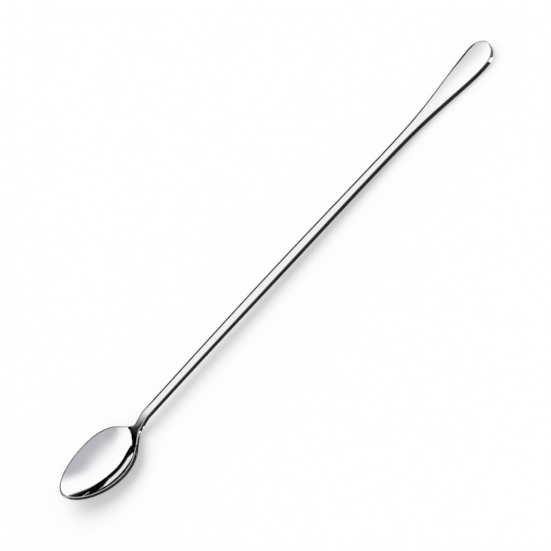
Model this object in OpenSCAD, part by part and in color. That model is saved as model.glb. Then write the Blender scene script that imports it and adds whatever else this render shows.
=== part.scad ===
// Iced tea spoon: a pressed steel bowl and a long flat handle, butt welded at the neck.
// X runs along the spoon with the handle towards +X, Z is up and the spoon lies on z = 0.
// Places along the spoon are distances from the rim's edge at the tip of the bowl.

/* [Spoon] */
// Length over all, from the tip of the bowl to the end of the handle
overall_length = 240; // [225:1:265]
// Radius that rounds every long edge
edge_radius = 0.4; // [0.25:0.05:0.5]

/* [Bowl] */
// Width of the hollow across the rim
mouth_width = 24; // [20:0.5:28]
// Length of the oval that the rim follows
mouth_length = 35.6; // [33:0.1:37]
// Distance from the tip to the widest and deepest place
widest_place = 20; // [17:0.5:22]
// Depth of the hollow under the rim
hollow_depth = 4.6; // [3.6:0.1:6]
// Thickness of the steel in the bowl
bowl_wall = 1.3; // [0.9:0.05:1.6]
// Rise of the rim at the tip above the place where it levels out
tip_rise = 4.6; // [3.5:0.1:5.5]
// Distance from the tip to the place where the rim levels out
rim_low_place = 27; // [23:0.5:29]

/* [Neck] */
// Half the length of the fillet between the bowl's shoulder and the neck
shoulder_round = 2.3; // [1:0.1:3]
// Half the length over which the hollow's floor runs out into the neck
floor_round = 3; // [1.5:0.25:4]
// Width of the steel at the neck
neck_width = 3.7; // [3.2:0.05:4.2]
// Thickness of the steel at the neck
neck_thickness = 2.1; // [1.8:0.05:2.3]
// Distance from the tip to the dip behind the bowl
dip_place = 36.8; // [35.5:0.1:38.5]
// Depth of that dip below the level rim
dip_depth = 1.55; // [0.8:0.05:2.2]
// Length over which the rim falls into the dip
fall_length = 6; // [4:0.1:8]
// Distance from the tip to the middle of the weld, on the crest of the stem
weld_place = 48; // [46:0.5:54]
// Width of the weld's seam
weld_width = 0.8; // [0.5:0.1:1.2]
// Height of the stem's crest above the level rim
crest_rise = 0.4; // [0.2:0.05:1]
// Length of the level crest in front of the weld
crest_length = 4; // [2:0.5:7]

/* [Handle] */
// Width of the stem where it swells
stem_width = 4.2; // [3.8:0.1:5]
// Distance from the tip to the swell
swell_place = 115; // [95:1:135]
// Width of the stem at its waist
waist_width = 3.65; // [3.2:0.05:4.2]
// Length of the flare from the waist to the widest place of the end
flare_length = 62.6; // [50:0.1:75]
// Width of the end
end_width = 11.75; // [9:0.25:15]
// Length of the round at the end
end_round = 6.7; // [5:0.1:8]
// Thickness of the steel at the end
end_thickness = 2.4; // [2:0.05:2.8]
// Radius of the shallow hollow across the handle's top
dish_radius = 72; // [50:1:120]

/* [Side view] */
// Distance from the end of the handle to its heel, where it begins to level out
heel_length = 43.5; // [38:0.5:50]
// Height of the stem's top above the table at the heel
heel_height = 2.95; // [2.7:0.05:3.2]
// Distance from the end of the handle to the middle of its resting land
land_place = 13; // [11:0.5:17]
// Depth that is ground away under the end to make the land flat
land_depth = 0.06; // [0.04:0.01:0.1]
// Lift of the underside at the very end of the handle, which turns up a little
end_lift = 1.3; // [0.5:0.1:2]

/* [Hidden] */

// How far the oval is drawn towards a point at its ends
point_share = 0.085;
// Slope of the stem in side view at the heel, as a fall per length
heel_slope_share = 0.036;
// Exponents of the handle's flare and of its round end
flare_power = 1.75;
round_power = 1.9;

// Step for working out slopes, and the overrun of cuts
probe = 0.01;
overrun = 1;

// Facets: half of a top row, one rounded edge, and the stretches along the spoon
row_steps = 8;
edge_steps = 3;
tip_steps = 17;
shoulder_steps = 15;
fillet_steps = 8;
neck_steps = 10;
stem_steps = 9;
flare_steps = 22;
round_steps = 12;

// The bowl's lip leans out over the tip, so the handle ends short of the length over all
lip_angle = atan(2 * tip_rise / rim_low_place
                 + 2 * hollow_depth / widest_place * (1 - point_share)^2);
lip_reach = bowl_wall * sin(lip_angle) - edge_radius * (sin(lip_angle) + cos(lip_angle) - 1);
handle_end = overall_length - lip_reach;
round_place = handle_end - end_round;
waist_place = round_place - flare_length;
heel_place = handle_end - heel_length;
flat_place = handle_end - land_place;
fall_place = max(dip_place - fall_length, rim_low_place);
crest_place = weld_place - crest_length;
mouth_sq = (mouth_width / 2)^2;
shoulder_span = mouth_length - widest_place;
end_fall = 2 * mouth_sq / shoulder_span * (1 - point_share)^2;
weld_start = weld_place - weld_width / 2;
weld_end = weld_place + weld_width / 2;
dish_curl = 1 / (2 * dish_radius);

// Smooth passage from a at s0 to b at s1, with the given slopes at its two ends
function blend(s, s0, s1, a, b, slope0 = 0, slope1 = 0) =
    let (span = s1 - s0, t = min(max((s - s0) / span, 0), 1))
    a * (2 * t^3 - 3 * t^2 + 1) + slope0 * span * (t^3 - 2 * t^2 + t)
    + b * (3 * t^2 - 2 * t^3) + slope1 * span * (t^3 - t^2);

// Rate of change of a function along the spoon
function rate(f, s) = (f(s + probe) - f(s - probe)) / (2 * probe);
function unit(v) = v / norm(v);

// Square of the oval's half-width, which turns negative past its ends
function oval_sq(s) =
    let (r = (s - widest_place) / (s < widest_place ? widest_place : shoulder_span))
    mouth_sq * (1 - r^2) * (1 - point_share * min(r^2, 1))^2;

// Half-width of the stem: neck, swell, waist, flare and round end
function stem_half(s) =
    s < swell_place ? blend(s, weld_end, swell_place, neck_width, stem_width) / 2
    : s < waist_place ? blend(s, swell_place, waist_place, stem_width, waist_width) / 2
    : s < round_place
      ? let (t = (s - waist_place) / flare_length)
        (waist_width + (end_width - waist_width) * (1 - cos(180 * t^flare_power)) / 2) / 2
    : let (t = min((s - round_place) / end_round, 1))
      end_width / 2 * (1 - t^round_power)^(1 / round_power);

// What the oval adds to the square of the stem's half-width, rounded off to nothing past the shoulder
function stem_sq(s) = s < widest_place ? 0 : stem_half(s)^2;
function bulge_sq(s, round_length) =
    let (v = oval_sq(s) - stem_sq(s), reach = round_length * end_fall)
    s < widest_place || v > reach ? v : v < -reach ? 0 : (v + reach)^2 / (4 * reach);
function spread_sq(s) = stem_sq(s) + bulge_sq(s, shoulder_round);

// Depth of the bowl's hollow below the rim: a paraboloid that runs out into the neck
function hollow(s) = hollow_depth * bulge_sq(s, floor_round) / (mouth_sq - stem_sq(s));

// Depth of the shallow hollow across the handle's top, which fades out over the neck
function dish(s) = blend(s, mouth_length, weld_start, 0, dish_curl) * spread_sq(s);

// Thickness of the steel
function thickness(s) =
    s < weld_place ? blend(s, widest_place, weld_place, bowl_wall, neck_thickness)
                   : blend(s, weld_place, flat_place, neck_thickness, end_thickness);

// Height of the top edge above the level rim, up to the crest of the stem
function rim_rise(s) =
    s < rim_low_place ? tip_rise * ((rim_low_place - s) / rim_low_place)^2
    : s < dip_place ? blend(s, fall_place, dip_place, 0, -dip_depth)
                    : blend(s, dip_place, crest_place, -dip_depth, crest_rise);

// Height of the top edge above the table
function edge_height(s) =
    s < weld_place ? rim_height + rim_rise(s)
    : s < heel_place
      ? blend(s, weld_place, heel_place, rim_height + crest_rise, heel_height, 0, -heel_slope_share)
    : s < flat_place
      ? blend(s, heel_place, flat_place, heel_height, end_thickness - land_depth, -heel_slope_share, 0)
      : end_thickness - land_depth + (end_lift + land_depth) * ((s - flat_place) / land_place)^2;

// How much the cut edge leans with the bowl's wall: square to it in front, upright at the shoulder
function lean(s) = blend(s, rim_low_place, mouth_length, 1, 0);

// Curl of the bowl across the spoon, and the slope of its sheet along it at a distance y off centre
function curl(s) = spread_sq(s) > 0 ? hollow(s) / spread_sq(s) : hollow(probe) / spread_sq(probe);
function sheet_slope(s, y) =
    rate(function(q) rim_rise(q) - hollow(q), s) + y^2 * rate(function(q) curl(max(q, 0)), s);

// Direction in which the wall's thickness is laid off, and the one that points square out over the edge
function wall_normal(s, y) = unit([-lean(s) * sheet_slope(s, y), -lean(s) * 2 * curl(s) * y, 1]);
function outward(s, half, normal) =
    unit(cross(normal, [2 * half, rate(function(q) spread_sq(q), s),
                        2 * half * rate(function(q) rim_rise(q), s)]));

// Point of the sheet's top at a distance y off centre
function sheet_top(s, y) = [s, y, edge_height(s) - hollow(s) + curl(s) * y^2];

// Places of the cross-sections, closer together where the outline turns
shoulder_angle = asin(1 - shoulder_round / shoulder_span);
bowl_stations = concat(
    [for (i = [0 : tip_steps]) widest_place * (1 - cos(90 * i / tip_steps))],
    [for (i = [1 : shoulder_steps])
     widest_place + shoulder_span * sin(shoulder_angle * i / shoulder_steps)],
    [for (i = [1 : fillet_steps]) mouth_length + shoulder_round * (2 * i / fillet_steps - 1)],
    [for (i = [1 : neck_steps])
     mouth_length + shoulder_round
     + (weld_start - mouth_length - shoulder_round) * i / neck_steps]);
handle_stations = concat(
    [for (i = [0 : stem_steps - 1]) weld_end + (swell_place - weld_end) * i / stem_steps],
    [for (i = [0 : stem_steps - 1]) swell_place + (waist_place - swell_place) * i / stem_steps],
    [for (i = [0 : flare_steps - 1]) waist_place + flare_length * i / flare_steps],
    [for (i = [0 : round_steps])
     round_place + end_round * sin(90 * i / round_steps)^(2 / round_power)]);

// The level rim stands at the height at which the bowl's belly touches the table
rim_height = max([for (i = [0 : tip_steps + shoulder_steps])
                  let (s = bowl_stations[i])
                  hollow(s) - rim_rise(s) + thickness(s) * wall_normal(s, 0)[2]]);

// Half of a cross-section: along the top, round the edge and back along the underside
function half_ring(s) =
    let (half = sqrt(max(spread_sq(s), 0)),
         normal = wall_normal(s, half),
         out = outward(s, half, normal),
         edge = [s, half, edge_height(s)],
         wall = thickness(s),
         inset = edge - edge_radius * out,
         row = [for (i = [0 : row_steps - 1]) inset[1] * i / row_steps],
         at = inset[0],
         top = [for (y = row)
                sheet_top(at, y) - [0, 0, dish(at) * (1 - y^2 / max(spread_sq(at), probe^2))]],
         upper = [for (i = [0 : edge_steps]) let (a = 90 - 90 * i / edge_steps)
                  inset - edge_radius * normal + edge_radius * (cos(a) * out + sin(a) * normal)],
         lower = [for (i = [0 : edge_steps]) let (a = -90 * i / edge_steps)
                  inset - (wall - edge_radius) * normal
                  + edge_radius * (cos(a) * out + sin(a) * normal)],
         under = [for (i = [row_steps - 1 : -1 : 0])
                  sheet_top(at, row[i]) - thickness(at) * wall_normal(at, row[i])])
    concat(top, upper, lower, under);

half_count = 2 * row_steps + 2 * (edge_steps + 1);
ring_count = 2 * half_count - 2;

// Whole cross-section, with the second half mirrored across the middle
function ring(s) =
    let (half = half_ring(s))
    concat(half, [for (i = [half_count - 2 : -1 : 1]) [half[i][0], -half[i][1], half[i][2]]]);

// Number of a point: at a pointed end both halves of a ring, and its rows, fall together
function folded(j) = min(max(min(j, ring_count - j), row_steps), half_count - 1 - row_steps);
function point_at(i, j, pointed) = i * ring_count + (pointed ? folded(j) : j % ring_count);
function proper(face) = face[0] != face[1] && face[1] != face[2] && face[2] != face[0];

// Solid through the cross-sections at the given places, pointed at its ends or cut square
module loft(stations, pointed_start = false, pointed_end = false) {
    last = len(stations) - 1;
    points = [for (s = stations) each ring(s)];
    sides = [for (i = [0 : last - 1], j = [0 : ring_count - 1])
             let (p0 = pointed_start && i == 0, p1 = pointed_end && i + 1 == last,
                  a = point_at(i, j, p0), b = point_at(i, j + 1, p0),
                  c = point_at(i + 1, j + 1, p1), d = point_at(i + 1, j, p1))
             each [[a, c, b], [a, d, c]]];
    first_side = row_steps + edge_steps;
    start_cap = [for (j = [0 : ring_count - 1]) point_at(0, first_side + j, false)];
    end_cap = [for (j = [0 : ring_count - 1]) point_at(last, first_side + ring_count - j, false)];
    polyhedron(points, concat([for (face = sides) if (proper(face)) face],
                              pointed_start ? [] : [start_cap],
                              pointed_end ? [] : [end_cap]));
}

// Moves the tip of the bowl and the end of the handle to the same distance from the middle
module centred() {
    translate([lip_reach - overall_length / 2, 0, 0]) children();
}

// Bowl: the pressed hollow with its rim and the short neck behind it
module bowl() {
    color("silver") centred() loft(bowl_stations, pointed_start = true);
}

// Weld: the narrow seam of filler between the bowl's neck and the handle, dressed flush
module neck_weld() {
    color("darkgray") centred() loft([weld_start, weld_end]);
}

// Handle: the long flat stem and its spread end, with a land ground flat where it rests
module handle() {
    color("gainsboro") centred() difference() {
        loft(handle_stations, pointed_end = true);
        translate([heel_place, -end_width, -end_thickness])
            cube([heel_length + overrun, 2 * end_width, end_thickness]);
    }
}

bowl();
neck_weld();
handle();
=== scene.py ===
"""Iced tea spoon in polished steel, in a plain studio, seen by the photograph's camera.

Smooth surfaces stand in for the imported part's solids. Lengths in SpoonForm and in the flags are
millimetres, and everything else is in metres, as Blender holds it. Places along the spoon are
distances s from the rim's edge at the tip of the bowl.
"""

from __future__ import annotations

import logging
import math
from dataclasses import dataclass, field
from enum import Enum
from functools import cached_property
from typing import Any, Callable

import bmesh
import bpy
import numpy as np
from mathutils import Matrix, Vector

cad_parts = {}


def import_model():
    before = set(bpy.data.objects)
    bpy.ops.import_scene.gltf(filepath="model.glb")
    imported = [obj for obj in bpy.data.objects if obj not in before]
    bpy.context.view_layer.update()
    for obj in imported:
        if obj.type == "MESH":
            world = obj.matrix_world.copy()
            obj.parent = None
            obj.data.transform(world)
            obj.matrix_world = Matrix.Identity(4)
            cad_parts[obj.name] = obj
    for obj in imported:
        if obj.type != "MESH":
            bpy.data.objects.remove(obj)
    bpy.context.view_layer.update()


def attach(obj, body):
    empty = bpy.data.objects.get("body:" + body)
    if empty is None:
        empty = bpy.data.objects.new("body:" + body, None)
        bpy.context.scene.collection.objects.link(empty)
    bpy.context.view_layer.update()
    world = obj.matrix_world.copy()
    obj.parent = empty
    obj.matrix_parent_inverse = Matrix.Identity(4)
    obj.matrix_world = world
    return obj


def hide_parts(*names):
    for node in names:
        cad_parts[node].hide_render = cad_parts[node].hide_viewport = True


LOG = logging.getLogger("spoon")
BODY = "root"
METRES = 0.001
PROBE = 0.01
HALF_TURN = 180.0

Array = np.ndarray
Colour = tuple[float, float, float]
Point = tuple[float, float]
Stops = tuple[tuple[float, float], ...]


def blend(
    s: Array,
    s0: float,
    s1: float,
    a: float,
    b: float,
    slope0: float = 0.0,
    slope1: float = 0.0,
) -> Array:
    """Carries a value from a at s0 to b at s1 on a cubic with the given end slopes.

    Args:
        s: Places along the spoon; the value stays a before s0 and b after s1.
        s0: Place where the passage starts.
        s1: Place where it ends.
        a: Value at the start.
        b: Value at the end.
        slope0: Slope at the start.
        slope1: Slope at the end.

    Returns:
        The value at each place.
    """
    span = s1 - s0
    t = np.clip((s - s0) / span, 0.0, 1.0)
    start = a * (2 * t**3 - 3 * t**2 + 1) + slope0 * span * (t**3 - 2 * t**2 + t)
    return start + b * (3 * t**2 - 2 * t**3) + slope1 * span * (t**3 - t**2)


def rate(value: Callable[[Array], Array], s: Array) -> Array:
    """Works out how fast a value changes along the spoon, as a central difference."""
    return (value(s + PROBE) - value(s - PROBE)) / (2 * PROBE)


def unit(vectors: Array) -> Array:
    """Scales vectors on the last axis to length one."""
    return vectors / np.linalg.norm(vectors, axis=-1, keepdims=True)


def graded(places: Array, stops: Stops) -> Array:
    """Reads a value off the straight lines between stops, each a place and its value."""
    return np.interp(places, *zip(*stops))


def direction(elevation: float, heading: float) -> Vector:
    """Points away from the spoon, at degrees above the table and round from its near side.

    Args:
        elevation: Degrees above the table.
        heading: Degrees round from the near side, towards the handle's end.

    Returns:
        The direction, of length one.
    """
    rise, turn = math.radians(elevation), math.radians(heading)
    level = math.cos(rise)
    return Vector((math.sin(turn) * level, -math.cos(turn) * level, math.sin(rise)))


@dataclass(frozen=True)
class SpoonForm:
    """Shape of the whole spoon, from which the bowl, the weld and the handle are cut to length."""

    overall_length: float = 240.0
    edge_radius: float = 0.4
    mouth_width: float = 24.0
    mouth_length: float = 35.6
    widest_place: float = 20.0
    hollow_depth: float = 4.6
    bowl_wall: float = 1.3
    tip_rise: float = 4.6
    rim_low_place: float = 27.0
    shoulder_round: float = 2.3
    floor_round: float = 3.0
    neck_width: float = 3.7
    neck_thickness: float = 2.1
    dip_place: float = 36.8
    dip_depth: float = 1.55
    fall_length: float = 6.0
    weld_place: float = 48.0
    weld_width: float = 0.8
    crest_rise: float = 0.4
    crest_length: float = 4.0
    stem_width: float = 4.2
    swell_place: float = 115.0
    waist_width: float = 3.65
    flare_length: float = 62.6
    end_width: float = 11.75
    end_round: float = 6.7
    end_thickness: float = 2.4
    dish_radius: float = 72.0
    heel_length: float = 43.5
    heel_height: float = 2.95
    land_place: float = 13.0
    land_depth: float = 0.06
    end_lift: float = 1.3
    point_share: float = 0.085
    heel_slope_share: float = 0.036
    flare_power: float = 1.75
    round_power: float = 1.9
    belly_steps: int = 1401

    @cached_property
    def lip_reach(self) -> float:
        """How far the bowl's lip leans out over the tip of the rim's edge.

        Returns:
            The wall's reach at the tip's slope, less what the edge's rounding takes off.
        """
        tip_fall = 2 * self.hollow_depth / self.widest_place * (1 - self.point_share) ** 2
        angle = math.atan(2 * self.tip_rise / self.rim_low_place + tip_fall)
        rounding = self.edge_radius * (math.sin(angle) + math.cos(angle) - 1)
        return self.bowl_wall * math.sin(angle) - rounding

    @cached_property
    def start_x(self) -> float:
        """Where the rim's edge at the tip lies along the part's own x."""
        return self.lip_reach - self.overall_length / 2

    @cached_property
    def handle_end(self) -> float:
        """Place of the very end of the handle."""
        return self.overall_length - self.lip_reach

    @cached_property
    def round_place(self) -> float:
        """Place where the round at the end of the handle starts."""
        return self.handle_end - self.end_round

    @cached_property
    def waist_place(self) -> float:
        """Place of the stem's waist, where the flare starts."""
        return self.round_place - self.flare_length

    @cached_property
    def flat_place(self) -> float:
        """Place of the middle of the land on which the handle rests."""
        return self.handle_end - self.land_place

    @cached_property
    def weld_ends(self) -> tuple[float, float]:
        """Places of the two faces of the weld."""
        return self.weld_place - self.weld_width / 2, self.weld_place + self.weld_width / 2

    @cached_property
    def fall_place(self) -> float:
        """Place where the level rim starts to fall into the dip."""
        return max(self.dip_place - self.fall_length, self.rim_low_place)

    @cached_property
    def crest_place(self) -> float:
        """Place where the neck reaches the stem's crest."""
        return self.weld_place - self.crest_length

    @cached_property
    def shoulder_span(self) -> float:
        """Length of the oval behind its widest place."""
        return self.mouth_length - self.widest_place

    @cached_property
    def mouth_sq(self) -> float:
        """Square of half the mouth's width."""
        return (self.mouth_width / 2) ** 2

    @cached_property
    def end_fall(self) -> float:
        """Rate at which the square of the oval's half-width falls at its far end."""
        return 2 * self.mouth_sq / self.shoulder_span * (1 - self.point_share) ** 2

    @cached_property
    def rim_height(self) -> float:
        """Height of the level rim at which the bowl's belly touches the table.

        Returns:
            The belly's deepest reach below the level rim.
        """
        s = np.linspace(0.0, self.mouth_length, self.belly_steps)
        wall = self.thickness(s) * self.wall_normal(s, 0 * s)[..., 2]
        return float((self.hollow(s) - self.rim_rise(s) + wall).max())

    def oval_sq(self, s: Array) -> Array:
        """Square of the oval's half-width: an ellipse drawn towards a point at both ends.

        Args:
            s: Places along the spoon.

        Returns:
            The square at each place, negative past the oval's ends.
        """
        span = np.where(s < self.widest_place, self.widest_place, self.shoulder_span)
        r = (s - self.widest_place) / span
        return self.mouth_sq * (1 - r**2) * (1 - self.point_share * np.minimum(r**2, 1)) ** 2

    def stem_half(self, s: Array) -> Array:
        """Half-width of the stem.

        Two cubics lead from the neck over the swell to the waist, and a cosine of a power of the
        place gives the flare. The end is a quarter of a superellipse.

        Args:
            s: Places along the spoon.

        Returns:
            The half-width at each place.
        """
        neck = blend(s, self.weld_ends[1], self.swell_place, self.neck_width, self.stem_width) / 2
        waist = blend(s, self.swell_place, self.waist_place, self.stem_width, self.waist_width) / 2
        t = np.clip((s - self.waist_place) / self.flare_length, 0, 1)
        spread = (1 - np.cos(np.pi * t**self.flare_power)) / 2
        flare = (self.waist_width + (self.end_width - self.waist_width) * spread) / 2
        t = np.clip((s - self.round_place) / self.end_round, 0, 1)
        round_end = self.end_width / 2 * (1 - t**self.round_power) ** (1 / self.round_power)
        places = [s < self.swell_place, s < self.waist_place, s < self.round_place]
        return np.select(places, [neck, waist, flare], round_end)

    def stem_sq(self, s: Array) -> Array:
        """Square of the stem's half-width, counted from the bowl's widest place on."""
        return np.where(s < self.widest_place, 0.0, self.stem_half(s) ** 2)

    def bulge_sq(self, s: Array, round_length: float) -> Array:
        """What the oval adds to the stem's square, rounded off by a parabola where it runs out.

        Args:
            s: Places along the spoon.
            round_length: Half the length of the rounding.

        Returns:
            The added square at each place.
        """
        v = self.oval_sq(s) - self.stem_sq(s)
        reach = round_length * self.end_fall
        rounded = np.where(v < -reach, 0.0, (v + reach) ** 2 / (4 * reach))
        return np.where((s < self.widest_place) | (v > reach), v, rounded)

    def spread_sq(self, s: Array) -> Array:
        """Square of the spoon's half-width."""
        return self.stem_sq(s) + self.bulge_sq(s, self.shoulder_round)

    def half_width(self, s: Array) -> Array:
        """Half-width of the spoon."""
        return np.sqrt(np.maximum(self.spread_sq(s), 0.0))

    def hollow(self, s: Array) -> Array:
        """Depth of the bowl's hollow below the rim: a paraboloid that runs out into the neck."""
        deep = self.hollow_depth * self.bulge_sq(s, self.floor_round)
        return deep / (self.mouth_sq - self.stem_sq(s))

    def dish(self, s: Array) -> Array:
        """Depth of the hollow across the handle's top: a circle's sag, fading out over the neck."""
        bend = blend(s, self.mouth_length, self.weld_ends[0], 0, 1 / (2 * self.dish_radius))
        return bend * self.spread_sq(s)

    def thickness(self, s: Array) -> Array:
        """Thickness of the steel, on two cubics that meet at the weld.

        Args:
            s: Places along the spoon.

        Returns:
            The thickness at each place.
        """
        front = blend(s, self.widest_place, self.weld_place, self.bowl_wall, self.neck_thickness)
        back = blend(s, self.weld_place, self.flat_place, self.neck_thickness, self.end_thickness)
        return np.where(s < self.weld_place, front, back)

    def rim_rise(self, s: Array) -> Array:
        """Height of the top edge above the level rim, up to the stem's crest.

        A parabola rises to the tip, and two cubics fall to the dip behind the bowl and climb again.

        Args:
            s: Places along the spoon.

        Returns:
            The height at each place.
        """
        tip = self.tip_rise * ((self.rim_low_place - s) / self.rim_low_place) ** 2
        fall = blend(s, self.fall_place, self.dip_place, 0, -self.dip_depth)
        climb = blend(s, self.dip_place, self.crest_place, -self.dip_depth, self.crest_rise)
        return np.select([s < self.rim_low_place, s < self.dip_place], [tip, fall], climb)

    def edge_height(self, s: Array) -> Array:
        """Height of the top edge above the table.

        Past the rim and the neck, two cubics lead down the stem and over the heel, and a parabola
        turns up the end.

        Args:
            s: Places along the spoon.

        Returns:
            The height at each place.
        """
        heel_place = self.handle_end - self.heel_length
        height, slope = self.heel_height, -self.heel_slope_share
        flat = self.end_thickness - self.land_depth
        crest = self.rim_height + self.crest_rise
        stem = blend(s, self.weld_place, heel_place, crest, height, 0, slope)
        heel = blend(s, heel_place, self.flat_place, height, flat, slope, 0)
        turn_up = ((s - self.flat_place) / self.land_place) ** 2
        end = flat + (self.end_lift + self.land_depth) * turn_up
        places = [s < self.weld_place, s < heel_place, s < self.flat_place]
        return np.select(places, [self.rim_height + self.rim_rise(s), stem, heel], end)

    def lean(self, s: Array) -> Array:
        """How much the cut edge leans with the wall: all in front, none past the shoulder."""
        return blend(s, self.rim_low_place, self.mouth_length, 1, 0)

    def curl(self, s: Array) -> Array:
        """Depth of the hollow over the square of the half-width: the sheet's bend across."""
        inside = np.maximum(s, PROBE)
        return self.hollow(inside) / np.maximum(self.spread_sq(inside), PROBE**2)

    def sheet_slope(self, s: Array, y: Array) -> Array:
        """Slope of the bowl's sheet along the spoon at a distance y off centre."""
        return rate(lambda q: self.rim_rise(q) - self.hollow(q), s) + y**2 * rate(self.curl, s)

    def wall_normal(self, s: Array, y: Array) -> Array:
        """Direction in which the wall's thickness is laid off: square to the sheet, times the lean.

        Args:
            s: Places along the spoon.
            y: Distances off centre.

        Returns:
            Directions of length one, on a last axis of three.
        """
        lean = self.lean(s)
        tilts = [-lean * self.sheet_slope(s, y), -lean * 2 * self.curl(s) * y, np.ones_like(y)]
        return unit(np.stack(tilts, axis=-1))

    def outward(self, s: Array, half: Array, normal: Array) -> Array:
        """Direction square out over the edge: the normal's cross product with the edge's run.

        Args:
            s: Places along the spoon.
            half: Half-widths there.
            normal: Directions of the wall's thickness there.

        Returns:
            Directions of length one, on a last axis of three.
        """
        climb = 2 * half * rate(self.rim_rise, s)
        run = np.stack([2 * half, rate(self.spread_sq, s), climb], axis=-1)
        return unit(np.cross(normal, run))

    def sheet_height(self, s: Array, y: Array) -> Array:
        """Height of the sheet's top at a distance y off centre: a parabola across the spoon."""
        return self.edge_height(s) - self.hollow(s) + self.curl(s) * y**2


@dataclass(frozen=True)
class SectionSteps:
    """How finely a cross-section is divided."""

    row: int = 26
    edge: int = 9
    side: int = 3
    fairing_power: float = 8.0

    def edge_shares(self) -> Array:
        """How far each point of a whole section lies round the edge.

        Returns:
            One share for each point: 0 on the faces, 1 on the side band, rising evenly between.
        """
        rise = np.linspace(0.0, 1.0, self.edge + 1)
        rows = np.zeros(self.row)
        half = np.concatenate([rows, rise, np.ones(self.side), rise[::-1], rows])
        return np.concatenate([half, half[-2:0:-1]])


def cross_sections(form: SpoonForm, s: Array, steps: SectionSteps) -> Array:
    """Works out the spoon's closed cross-sections as one array.

    Each section runs from the middle of the top to the edge, round a quarter circle, down the side
    band, round a second quarter circle and back along the underside, which lies the wall's
    thickness below the top. The other half is its mirror image across the middle plane.

    Args:
        form: Shape of the spoon.
        s: Places of the sections along the spoon.
        steps: How finely a section is divided.

    Returns:
        Points in millimetres, as sections by points by three.
    """
    half = form.half_width(s)
    normal = form.wall_normal(s, half)
    out = form.outward(s, half, normal)
    radius = form.edge_radius
    wall = form.thickness(s)[:, None]
    inset = np.stack([s, half, form.edge_height(s)], axis=-1) - radius * out

    share = np.sin(np.pi / 2 * np.arange(steps.row) / steps.row)
    rim_at, rim_y, rim_z = inset[:, :1], inset[:, 1:2], inset[:, 2:3]
    at = np.repeat(rim_at, steps.row, axis=1)
    y = rim_y * share
    fairing = share**steps.fairing_power
    sag = form.dish(at) * (1 - y**2 / np.maximum(form.spread_sq(at), PROBE**2))
    rim_gap = rim_z - form.sheet_height(rim_at, rim_y)
    top = np.stack([at, y, form.sheet_height(at, y) - sag + rim_gap * fairing], axis=-1)

    angle = np.linspace(np.pi / 2, 0.0, steps.edge + 1)[:, None]
    sweep = radius * (np.cos(angle) * out[:, None, :] + np.sin(angle) * normal[:, None, :])
    upper = (inset - radius * normal)[:, None, :] + sweep
    sweep = radius * (np.cos(angle) * out[:, None, :] - np.sin(angle) * normal[:, None, :])
    lower = (inset - (wall - radius) * normal)[:, None, :] + sweep[:, ::-1]
    down = (np.arange(steps.side) + 1)[:, None] / (steps.side + 1)
    side = upper[:, -1:] + (lower[:, :1] - upper[:, -1:]) * down

    sheet = np.stack([at, y, form.sheet_height(at, y)], axis=-1)
    under = sheet - form.thickness(at)[..., None] * form.wall_normal(at, y)
    rim_sheet = np.concatenate([rim_at, rim_y, form.sheet_height(rim_at, rim_y)], axis=-1)
    rim_wall = form.thickness(rim_at) * form.wall_normal(rim_at[:, 0], rim_y[:, 0])
    rim_under = rim_sheet - rim_wall
    under = under + (lower[:, -1] - rim_under)[:, None, :] * fairing[:, None]

    halves = np.concatenate([top, upper, side, lower, under[:, ::-1]], axis=1)
    mirrored = halves[:, -2:0:-1] * np.array([1.0, -1.0, 1.0])
    rings = np.concatenate([halves, mirrored], axis=1)
    rings[..., 0] += form.start_x
    rings[..., 2] = np.maximum(rings[..., 2], 0.0)
    return rings


class Value:
    """A shader socket that takes part in Python arithmetic; each operation adds one Math node."""

    def __init__(self, tree: "NodeTree", socket: bpy.types.NodeSocket) -> None:
        """Keeps the tree that new nodes go into and the socket that holds the value."""
        self.tree = tree
        self.socket = socket

    def _math(self, operation: str, first: Any, second: Any = 0.0) -> "Value":
        """Adds a Math node.

        Args:
            operation: The node's operation.
            first: Its first value or link.
            second: Its second value or link.

        Returns:
            The node's result.
        """
        return self.tree.add("ShaderNodeMath", {"operation": operation}, {0: first, 1: second})

    def __add__(self, other: Any) -> "Value":
        """Adds."""
        return self._math("ADD", self, other)

    def __sub__(self, other: Any) -> "Value":
        """Subtracts."""
        return self._math("SUBTRACT", self, other)

    def __rsub__(self, other: Any) -> "Value":
        """Subtracts from a number."""
        return self._math("SUBTRACT", other, self)

    def __mul__(self, other: Any) -> "Value":
        """Multiplies."""
        return self._math("MULTIPLY", self, other)

    def __truediv__(self, other: Any) -> "Value":
        """Divides."""
        return self._math("DIVIDE", self, other)

    def __rtruediv__(self, other: Any) -> "Value":
        """Divides a number."""
        return self._math("DIVIDE", other, self)

    __radd__ = __add__
    __rmul__ = __mul__

    def maximum(self, other: Any) -> "Value":
        """Takes the larger value."""
        return self._math("MAXIMUM", self, other)

    def angle_from(self, other: Any) -> "Value":
        """Takes the angle whose tangent is this value over the other, in radians."""
        return self._math("ARCTAN2", self, other)


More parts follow.
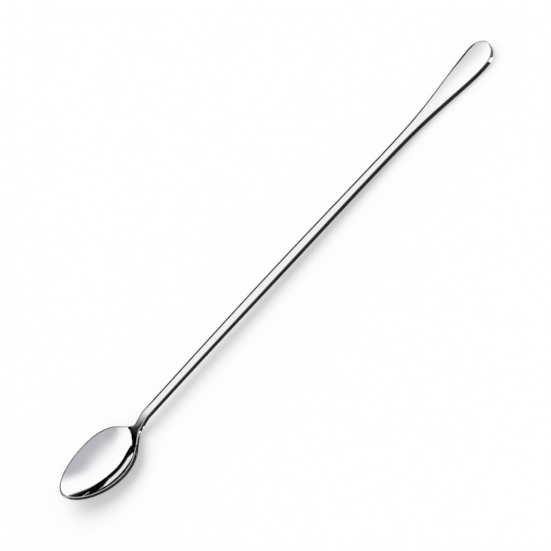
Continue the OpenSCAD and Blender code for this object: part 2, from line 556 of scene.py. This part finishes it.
class NodeTree:
    """A material's or world's nodes, emptied and built up again."""

    def __init__(self, owner: bpy.types.Material | bpy.types.World) -> None:
        """Empties the owner's node tree.

        Args:
            owner: The material or world.
        """
        owner.use_nodes = True
        self.tree = owner.node_tree
        self.tree.nodes.clear()

    def node(self, kind: str, settings: dict[str, Any], sockets: dict[Any, Any]) -> bpy.types.Node:
        """Adds a node of any kind.

        Args:
            kind: The node's type name.
            settings: Properties, set first; "stops" gives a ramp's stops as (position, colour).
            sockets: Values, Value objects or output sockets for its inputs, by name or number.

        Returns:
            The node.
        """
        node = self.tree.nodes.new(kind)
        for name, value in settings.items():
            if name == "stops":
                self._set_stops(node.color_ramp, value)
            else:
                setattr(node, name, value)
        for name, value in sockets.items():
            source = value.socket if isinstance(value, Value) else value
            if isinstance(source, bpy.types.NodeSocket):
                self.tree.links.new(source, node.inputs[name])
            else:
                node.inputs[name].default_value = source
        return node

    @staticmethod
    def _set_stops(ramp: bpy.types.ColorRamp, stops: list[tuple[float, Colour]]) -> None:
        """Gives a ramp its stops.

        Args:
            ramp: The ramp, which keeps its first stop and loses the others.
            stops: Positions from 0 to 1, in order, with their colours.
        """
        while len(ramp.elements) > 1:
            ramp.elements.remove(ramp.elements[-1])
        ramp.elements[0].position = stops[0][0]
        for position, _ in stops[1:]:
            ramp.elements.new(position)
        for element, (_, colour) in zip(ramp.elements, stops):
            element.color = (*colour, 1.0)

    def add(
        self, kind: str, settings: dict[str, Any], sockets: dict[Any, Any], output: Any = 0
    ) -> Value:
        """Adds a node and wraps one of its outputs, the first unless named."""
        return Value(self, self.node(kind, settings, sockets).outputs[output])


class Polish(Enum):
    """How far a piece of the spoon was polished."""

    MIRROR = "mirror"
    DRESSED = "dressed"


@dataclass(frozen=True)
class SteelFinish:
    """Stainless steel, buffed along the spoon, with a rougher cut edge darkened by painted shade,
    and faint handling marks.
    """

    polish: Polish
    colour: Colour = (0.80, 0.80, 0.805)
    # Painted shade: a darker colour on the edge band stands in for the dark reflections along the
    # cut edge.
    edge_shade_colour: Colour = (0.50, 0.50, 0.50)
    roughness: float = 0.03
    dressed_roughness: float = 0.02
    edge_roughness: float = 0.03
    mark_roughness: float = 0.02
    line_height: float = 0.000002
    line_strength: float = 0.05
    line_scale: tuple[float, float, float] = (120.0, 6000.0, 6000.0)
    line_detail: float = 2.0
    mark_scale: float = 140.0
    mark_detail: float = 5.0

    def material(self) -> bpy.types.Material:
        """Builds the finish.

        Roughness is a base plus noise for the marks plus a share of the edge's band, which also
        mixes in a darker colour there as painted shade. Noise drawn out along the spoon gives the
        bump of the lines.

        Returns:
            The material.
        """
        made = bpy.data.materials.new(f"{self.polish.value}_steel")
        nodes = NodeTree(made)
        place = nodes.add("ShaderNodeTexCoord", {}, {}, "Object")
        edge = nodes.add("ShaderNodeAttribute", {"attribute_name": "edge_share"}, {}, "Fac")
        marks = nodes.add(
            "ShaderNodeTexNoise",
            {},
            {"Vector": place, "Scale": self.mark_scale, "Detail": self.mark_detail},
        )
        stretched = nodes.add("ShaderNodeMapping", {}, {"Vector": place, "Scale": self.line_scale})
        lines = nodes.add(
            "ShaderNodeTexNoise",
            {},
            {"Vector": stretched, "Scale": 1.0, "Detail": self.line_detail},
        )
        base = self.roughness
        if self.polish is Polish.DRESSED:
            base += self.dressed_roughness
        roughness = base + marks * self.mark_roughness + edge * self.edge_roughness
        # Painted shade: the edge band mixes towards the darker edge colour.
        colour = nodes.add(
            "ShaderNodeMix",
            {"data_type": "RGBA"},
            {"Factor": edge, "A": (*self.colour, 1.0), "B": (*self.edge_shade_colour, 1.0)},
            "Result",
        )
        bump = nodes.add(
            "ShaderNodeBump",
            {},
            {"Strength": self.line_strength, "Distance": self.line_height, "Height": lines},
        )
        shader = nodes.node(
            "ShaderNodeBsdfPrincipled",
            {},
            {"Base Color": colour, "Metallic": 1.0, "Roughness": roughness, "Normal": bump},
        )
        nodes.node("ShaderNodeOutputMaterial", {}, {"Surface": shader.outputs[0]})
        return made


@dataclass
class SpoonPiece:
    """A piece of the spoon: a stretch of the form, lofted through sections and capped at cuts."""

    form: SpoonForm
    node: str
    slot: str
    polish: Polish
    steps: SectionSteps = field(default_factory=SectionSteps)
    cut_start: bool = True
    cut_end: bool = True
    sharp_degrees: float = 60.0
    merge_distance: float = 1e-8

    def stations(self) -> Array:
        """Places of the sections; each kind of piece has its own."""
        raise NotImplementedError

    def faces(self, sections: int, points: int) -> list[list[int]]:
        """Lists the loft's quads and its end caps.

        Args:
            sections: Number of sections.
            points: Number of points in each.

        Returns:
            Point numbers of each face, turned outwards.
        """
        i, j = np.meshgrid(np.arange(sections - 1), np.arange(points), indexing="ij")
        nxt = (j + 1) % points
        quads = [i * points + j, (i + 1) * points + j, (i + 1) * points + nxt, i * points + nxt]
        found = np.stack(quads, axis=-1).reshape(-1, 4).tolist()
        if self.cut_start:
            found.append(list(range(points)))
        if self.cut_end:
            found.append(list(range(sections * points - 1, (sections - 1) * points - 1, -1)))
        return found

    def build(self) -> bpy.types.Object:
        """Builds the piece's mesh from its sections.

        Returns:
            The object, at the origin, with its edge band in the attribute edge_share.
        """
        rings = cross_sections(self.form, self.stations(), self.steps)
        sections, points = rings.shape[:2]
        mesh = bpy.data.meshes.new(f"{self.node}_steel")
        mesh.from_pydata((rings.reshape(-1, 3) * METRES).tolist(), [], self.faces(sections, points))
        band = mesh.attributes.new("edge_share", "FLOAT", "POINT")
        shares = np.tile(self.steps.edge_shares(), sections).astype(np.float32)
        band.data.foreach_set("value", shares)
        work = bmesh.new()
        work.from_mesh(mesh)
        bmesh.ops.remove_doubles(work, verts=work.verts, dist=self.merge_distance)
        bmesh.ops.recalc_face_normals(work, faces=work.faces)
        work.to_mesh(mesh)
        work.free()
        mesh.polygons.foreach_set("use_smooth", np.ones(len(mesh.polygons), dtype=bool))
        mesh.set_sharp_from_angle(angle=math.radians(self.sharp_degrees))
        mesh.update()
        piece = bpy.data.objects.new(f"{self.node}_steel", mesh)
        bpy.context.scene.collection.objects.link(piece)
        return piece

    def dress(self, piece: bpy.types.Object, finishes: dict[Polish, bpy.types.Material]) -> None:
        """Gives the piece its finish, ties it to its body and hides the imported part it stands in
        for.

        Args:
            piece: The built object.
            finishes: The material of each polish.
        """
        piece.data.materials.append(finishes[self.polish])
        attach(piece, BODY)
        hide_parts(self.node)


@dataclass
class Bowl(SpoonPiece):
    """The pressed bowl with its rim and the short neck behind it, pointed at the tip."""

    tip_steps: int = 110
    shoulder_steps: int = 100
    fillet_steps: int = 24
    neck_steps: int = 50

    def stations(self) -> Array:
        """Places that crowd towards the tip and the shoulder.

        Returns:
            Cosines and sines of even angles over the oval, then even steps over fillet and neck.
        """
        form = self.form
        turn = np.pi / 2 * np.arange(self.tip_steps) / self.tip_steps
        tip = form.widest_place * (1 - np.cos(turn))
        last_turn = math.asin(1 - form.shoulder_round / form.shoulder_span)
        turn = np.linspace(0, last_turn, self.shoulder_steps)
        shoulder = form.widest_place + form.shoulder_span * np.sin(turn)
        fillet_start = form.mouth_length - form.shoulder_round
        fillet_end = form.mouth_length + form.shoulder_round
        fillet = np.linspace(fillet_start, fillet_end, self.fillet_steps)[1:]
        neck = np.linspace(fillet_end, form.weld_ends[0], self.neck_steps)[1:]
        return np.concatenate([tip, shoulder, fillet, neck])


@dataclass
class NeckWeld(SpoonPiece):
    """The narrow butt weld between the neck and the handle, ground flush and polished over."""

    weld_steps: int = 6

    def stations(self) -> Array:
        """Even steps between the weld's two faces."""
        return np.linspace(*self.form.weld_ends, self.weld_steps)


@dataclass
class Handle(SpoonPiece):
    """The long flat stem with its flared, rounded end."""

    stem_steps: int = 160
    flare_steps: int = 150
    round_steps: int = 60

    def stations(self) -> Array:
        """Places that crowd towards the very end.

        Returns:
            Even steps along the stem and the flare, then powers of sines round the end.
        """
        form = self.form
        stem = np.linspace(form.weld_ends[1], form.waist_place, self.stem_steps)
        flare = np.linspace(form.waist_place, form.round_place, self.flare_steps)[1:]
        turn = np.sin(np.linspace(0, np.pi / 2, self.round_steps)) ** (2 / form.round_power)
        return np.concatenate([stem, flare, form.round_place + form.end_round * turn[1:]])


class Side(Enum):
    """On which side of the spoon a flag follows the edge, as the camera sees it."""

    FAR = 1.0
    NEAR = -1.0


@dataclass(frozen=True)
class Card:
    """A flat card on the floor beside the spoon, which shows only in its reflections."""

    name: str
    low: Point
    high: Point
    shade: float
    height: float = 0.0001

    def build(self) -> bpy.types.Object:
        """Lays the card flat and gives it its shade."""
        return reflected(flat_plane(self.name, self.low, self.high, self.height), self.shade)


@dataclass(frozen=True)
class Flag:
    """A strip that stands or hangs beside the spoon and shows only in its reflections."""

    name: str
    start: float
    end: float
    shades: Stops = ((0.0, 0.0),)
    steps: int = 400
    graded_axis: int = 0

    def edges(self, form: SpoonForm, s: Array) -> tuple[Array, Array]:
        """The two long edges of the strip at places s; each kind of flag has its own."""
        raise NotImplementedError

    def build(self, form: SpoonForm) -> bpy.types.Object:
        """Builds the strip: a ruled surface between two edges, with places crowded at both ends.

        Args:
            form: Shape of the spoon.

        Returns:
            The staged object, with its brightness in the attribute shade.
        """
        turn = (1 - np.cos(np.linspace(0.0, np.pi, self.steps))) / 2
        edges = self.edges(form, self.start + (self.end - self.start) * turn)
        points = np.stack(edges, axis=1).reshape(-1, 3)
        shade = graded(points[:, self.graded_axis], self.shades).astype(np.float32)
        points[:, 0] += form.start_x
        first = 2 * np.arange(self.steps - 1)
        faces = np.stack([first, first + 2, first + 3, first + 1], axis=-1)
        mesh = bpy.data.meshes.new(self.name)
        mesh.from_pydata((points * METRES).tolist(), [], faces.tolist())
        mesh.attributes.new("shade", "FLOAT", "POINT").data.foreach_set("value", shade)
        return reflected(staged(mesh))


@dataclass(frozen=True)
class EdgeFlag(Flag):
    """A dark strip that follows the spoon's edge closely, rises above it and may lean over it."""

    side: Side = Side.FAR
    offset: float = 0.5
    foot_rise: float = 0.2
    top_offsets: Stops = ((0.0, 0.5),)
    rises: Stops = ((0.0, 2.0),)

    def edges(self, form: SpoonForm, s: Array) -> tuple[Array, Array]:
        """The spoon's edge, moved square out from it and up: once for the foot, once for the top.

        Args:
            form: Shape of the spoon.
            s: Places along it.

        Returns:
            Points of the foot and of the top.
        """
        half, side = form.half_width(s), self.side.value
        out = unit(np.stack([-rate(form.spread_sq, s), 2 * half * side], axis=-1))
        edge = np.stack([s, half * side], axis=-1)
        lean = graded(s, self.top_offsets)[:, None]
        height = form.edge_height(s)
        foot = np.column_stack([edge + self.offset * out, height + self.foot_rise])
        return foot, np.column_stack([edge + lean * out, height + graded(s, self.rises)])


@dataclass(frozen=True)
class StandingFlag(Flag):
    """A straight, upright strip beside the spoon, with a level foot and a top that may rise."""

    beside: float = 3.0
    foot: float = 4.0
    tops: Stops = ((0.0, 20.0),)

    def edges(self, form: SpoonForm, s: Array) -> tuple[Array, Array]:
        """A level line at the foot, and the line of tops over it."""
        foot = np.stack([s, 0 * s + self.beside, 0 * s + self.foot], axis=-1)
        return foot, np.column_stack([foot[:, :2], graded(s, self.tops)])


@dataclass(frozen=True)
class StemScrim(Flag):
    """A level sheet close over the far side of the stem, graded along it."""

    near: float = 0.0
    far: float = 6.3
    height: float = 10.0

    def edges(self, form: SpoonForm, s: Array) -> tuple[Array, Array]:
        """Two level lines along the spoon, side by side."""
        line = np.stack([s, 0 * s + self.near, 0 * s + self.height], axis=-1)
        return line, line + np.array([0.0, self.far - self.near, 0.0])


@dataclass(frozen=True)
class EndScrim(Flag):
    """A level sheet high over the far side of the handle's end; its places run across the spoon."""

    low: float = 190.0
    high: float = 300.0
    height: float = 60.0
    graded_axis: int = 1

    def edges(self, form: SpoonForm, s: Array) -> tuple[Array, Array]:
        """Two level lines across the spoon, one at each end of the sheet."""
        line = np.stack([0 * s + self.low, s, 0 * s + self.height], axis=-1)
        return line, line + np.array([self.high - self.low, 0.0, 0.0])


def staged(mesh: bpy.types.Mesh) -> bpy.types.Object:
    """Puts a mesh into the scene as an object that isn't part of the spoon.

    Args:
        mesh: The mesh, whose name the object takes.

    Returns:
        The staged object.
    """
    made = bpy.data.objects.new(mesh.name, mesh)
    bpy.context.scene.collection.objects.link(made)
    return made


def flat_plane(name: str, low: Point, high: Point, height: float) -> bpy.types.Object:
    """Makes a flat rectangle that isn't part of the spoon.

    Args:
        name: Its name.
        low: Its lowest x and y.
        high: Its highest x and y.
        height: Its height.

    Returns:
        The staged object.
    """
    mesh = bpy.data.meshes.new(name)
    corners = [(low[0], low[1]), (high[0], low[1]), (high[0], high[1]), (low[0], high[1])]
    mesh.from_pydata([(x, y, height) for x, y in corners], [], [(0, 1, 2, 3)])
    return staged(mesh)


def reflected(card: bpy.types.Object, shade: float | None = None) -> bpy.types.Object:
    """Makes a card that only reflections see, at one brightness or at its attribute shade.

    Args:
        card: The card.
        shade: Its brightness, or None for the attribute.

    Returns:
        The card.
    """
    made = bpy.data.materials.new(card.name)
    nodes = NodeTree(made)
    if shade is None:
        colour = nodes.add("ShaderNodeAttribute", {"attribute_name": "shade"}, {}, "Fac")
    else:
        colour = (shade, shade, shade, 1.0)
    glow = nodes.node("ShaderNodeEmission", {}, {"Color": colour, "Strength": 1.0})
    nodes.node("ShaderNodeOutputMaterial", {}, {"Surface": glow.outputs[0]})
    card.data.materials.append(made)
    for ray in ("camera", "diffuse", "transmission", "volume_scatter", "shadow"):
        setattr(card, f"visible_{ray}", False)
    return card


@dataclass
class Studio:
    """Pale floor, soft light from the far side and overhead, and cards and flags for the steel.

    The sky's stops are degrees from the far horizon over the top to the near one. The steel
    reflects the cards and the flags, and nothing else sees them.
    """

    floor_size: float = 4.0
    floor_colour: Colour = (0.90, 0.90, 0.895)
    floor_white_share: float = 0.45
    lamp_strength: float = 1.95
    lamp_elevation: float = 64.0
    lamp_heading: float = 175.0
    lamp_spread: float = 60.0
    horizon_colour: Colour = (0.015, 0.015, 0.015)
    sky_stops: tuple[tuple[float, Colour], ...] = (
        (11.0, (0.02, 0.02, 0.02)),
        (17.0, (1.22, 1.22, 1.22)),
        (65.0, (1.20, 1.20, 1.20)),
        (79.0, (1.11, 1.11, 1.115)),
        (89.0, (0.97, 0.968, 0.985)),
        (99.5, (0.77, 0.76, 0.79)),
        (110.0, (0.62, 0.605, 0.655)),
        (129.0, (0.58, 0.57, 0.61)),
        (134.0, (0.04, 0.04, 0.04)),
    )
    sky_arch: float = 300.0
    dome_colour: Colour = (0.54, 0.54, 0.54)
    horizon: tuple[float, float] = (0.04, 0.20)
    # Two dark cards give the steel's sides their dark band, and two glints the breaks in it.
    cards: tuple[Card, ...] = (
        Card("edge_card", low=(-0.1500, -0.0800), high=(0.1147, 0.0900), shade=0.04),
        Card("end_card", low=(0.1172, -0.0800), high=(0.1500, 0.0900), shade=0.25),
        Card(
            "neck_glint", low=(-0.0808, -0.0043), high=(-0.0797, -0.0029), shade=3.0, height=0.0002
        ),
        Card(
            "end_glint", low=(0.1147, -0.0120), high=(0.1172, -0.0040), shade=1.9, height=0.0002
        ),
    )
    # Edge flags draw the outline and the bands in the bowl; standing flags and scrims shade the
    # bowl's shoulder, the neck, the stem and the handle's end.
    flags: tuple[Flag, ...] = (
        EdgeFlag(
            "edge_flag",
            start=0.0,
            end=239.3,
            top_offsets=(
                (18.6, -1.0),
                (19.4, -0.7),
                (21.4, -0.7),
                (22.2, -1.0),
                (31.0, -1.0),
                (36.0, 0.5),
                (232.0, 0.5),
                (237.0, 0.2),
            ),
            rises=(
                (18.6, 1.65),
                (19.4, 0.4),
                (21.4, 0.4),
                (22.2, 1.65),
                (31.0, 1.65),
                (40.0, 1.45),
                (50.0, 1.85),
                (220.0, 1.85),
                (228.0, 2.35),
            ),
        ),
        EdgeFlag(
            "tip_flag",
            start=0.0,
            end=1.0,
            side=Side.NEAR,
            top_offsets=((0.0, -1.0),),
            rises=((0.0, 1.65),),
        ),
        EdgeFlag("far_flag", start=0.0, end=31.0, rises=((0.0, 2.7),)),
        EdgeFlag(
            "rim_cover",
            start=1.0,
            end=33.0,
            shades=((0.0, 0.05),),
            side=Side.NEAR,
            top_offsets=((0.0, -0.4),),
            rises=((0.0, 0.5),),
        ),
        EdgeFlag("end_flag", start=238.4, end=239.3, side=Side.NEAR),
        StandingFlag(
            "shoulder_flag",
            start=22.2,
            end=36.0,
            beside=13.5,
            tops=((22.2, 7.4), (33.7, 19.1), (35.0, 21.5), (36.0, 26.0)),
        ),
        StandingFlag(
            "neck_flag",
            start=34.9,
            end=48.5,
            shades=((35.6, 0.01), (37.8, 0.41), (40.4, 0.72), (44.3, 1.0), (48.0, 1.09)),
        ),
        StemScrim("stem_scrim", start=49.0, end=222.0, shades=((205.0, 1.09), (222.0, 1.20))),
        EndScrim(
            "end_scrim",
            start=20.0,
            end=70.0,
            shades=((36.0, 0.72), (41.0, 0.86), (48.2, 1.21)),
        ),
    )

    def build(self, form: SpoonForm) -> None:
        """Builds the floor, the cards, the flags beside the spoon, the lamp and the sky.

        Args:
            form: Shape of the spoon, which the flags follow.
        """
        self._floor()
        for card in self.cards:
            card.build()
        for flag in self.flags:
            flag.build(form)
        self._lamp()
        self._sky()

    def _floor(self) -> None:
        """Lays the pale floor, mixed with plain white for the camera and for reflections."""
        half = self.floor_size / 2
        floor = flat_plane("floor", (-half, -half), (half, half), 0.0)
        made = bpy.data.materials.new("pale_floor")
        nodes = NodeTree(made)
        path = nodes.node("ShaderNodeLightPath", {}, {})
        seen = Value(nodes, path.outputs["Is Camera Ray"]).maximum(path.outputs["Is Glossy Ray"])
        seen = seen.maximum(path.outputs["Is Transmission Ray"])
        matt = nodes.node("ShaderNodeBsdfDiffuse", {}, {"Color": (*self.floor_colour, 1.0)})
        white = nodes.node("ShaderNodeEmission", {}, {"Strength": 1.0})
        share = seen * self.floor_white_share
        shaders = {0: share, 1: matt.outputs[0], 2: white.outputs[0]}
        mixed = nodes.node("ShaderNodeMixShader", {}, shaders)
        nodes.node("ShaderNodeOutputMaterial", {}, {"Surface": mixed.outputs[0]})
        floor.data.materials.append(made)

    def _lamp(self) -> None:
        """Hangs the soft lamp on the far side; the sky holds its reflection."""
        light = bpy.data.lights.new("soft_lamp", "SUN")
        light.energy = self.lamp_strength
        light.angle = math.radians(self.lamp_spread)
        lamp = bpy.data.objects.new("soft_lamp", light)
        bpy.context.scene.collection.objects.link(lamp)
        towards = direction(self.lamp_elevation, self.lamp_heading)
        lamp.rotation_euler = towards.to_track_quat("Z", "Y").to_euler()
        lamp.visible_glossy = False

    def _sky(self) -> None:
        """Lights the studio.

        Brightness follows the angle from the far horizon over the top, plus an arch that grows with
        the fourth power of along times up, and darkens towards the horizon all round. Matt surfaces
        are lit by a plain dome instead.
        """
        world = bpy.data.worlds.new("soft_studio")
        bpy.context.scene.world = world
        nodes = NodeTree(world)
        ray = nodes.add("ShaderNodeTexCoord", {}, {}, "Generated")
        split = nodes.node("ShaderNodeSeparateXYZ", {}, {0: ray})
        along, across, up = (Value(nodes, split.outputs[axis]) for axis in "XYZ")
        lean = along * up * along * up
        turn = up.angle_from(across) / math.pi + lean * lean * (self.sky_arch / HALF_TURN)
        stops = [(angle / HALF_TURN, colour) for angle, colour in self.sky_stops]
        band = nodes.add("ShaderNodeValToRGB", {"stops": stops}, {"Fac": turn})
        low, high = self.horizon
        clear = nodes.add(
            "ShaderNodeMapRange",
            {"interpolation_type": "SMOOTHSTEP"},
            {"Value": up, "From Min": low, "From Max": high},
        )
        colour = nodes.add(
            "ShaderNodeMix",
            {"data_type": "RGBA"},
            {"Factor": clear, "A": (*self.horizon_colour, 1.0), "B": band},
            "Result",
        )
        glow = nodes.node("ShaderNodeBackground", {}, {"Color": colour})
        dome = nodes.node("ShaderNodeBackground", {}, {"Color": (*self.dome_colour, 1.0)})
        matt = nodes.add("ShaderNodeLightPath", {}, {}, "Is Diffuse Ray")
        shaders = {0: matt, 1: glow.outputs[0], 2: dome.outputs[0]}
        mixed = nodes.node("ShaderNodeMixShader", {}, shaders)
        nodes.node("ShaderNodeOutputWorld", {}, {"Surface": mixed.outputs[0]})


@dataclass(frozen=True)
class PhotoCamera:
    """The photograph's camera: a long lens that looks down on the spoon, rolled to a diagonal."""

    distance: float = 0.900
    elevation: float = 50.98
    heading: float = -6.286
    roll: float = -42.896
    pixels_per_metre: float = 2586.85
    image_pixels: float = 551.0
    sensor: float = 36.0
    target: tuple[float, float, float] = (-0.00286, 0.00189, 0.00124)

    def build(self) -> bpy.types.Object:
        """Places the camera and makes it the scene's.

        Returns:
            The camera.
        """
        data = bpy.data.cameras.new("photo_camera")
        data.sensor_width = self.sensor
        data.lens = self.pixels_per_metre * self.distance / self.image_pixels * self.sensor
        camera = bpy.data.objects.new("photo_camera", data)
        bpy.context.scene.collection.objects.link(camera)
        back = direction(self.elevation, self.heading)
        turn = math.radians(self.heading)
        level = Vector((math.cos(turn), math.sin(turn), 0.0))
        level.rotate(Matrix.Rotation(math.radians(self.roll), 3, back))
        axes = Matrix((level, back.cross(level), back)).transposed().to_4x4()
        place = Vector(self.target) + back * self.distance
        camera.matrix_world = Matrix.Translation(place) @ axes
        bpy.context.scene.camera = camera
        return camera


def main() -> None:
    """Builds the spoon's pieces over the frame, then the studio and the camera."""
    logging.basicConfig(level=logging.INFO, format="%(message)s")
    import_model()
    bpy.context.scene.view_settings.view_transform = "Standard"
    form = SpoonForm()
    finishes = {polish: SteelFinish(polish).material() for polish in Polish}
    pieces = [
        Bowl(form, "bowl", "polished_steel", Polish.MIRROR, cut_start=False),
        NeckWeld(form, "neck_weld", "dressed_weld", Polish.DRESSED),
        Handle(form, "handle", "polished_steel", Polish.MIRROR, cut_end=False),
    ]
    for piece in pieces:
        made = piece.build()
        piece.dress(made, finishes)
        LOG.info("%s: %d faces, %s", made.name, len(made.data.polygons), piece.polish.value)
    Studio().build(form)
    PhotoCamera().build()


if __name__ == "__main__":
    main()
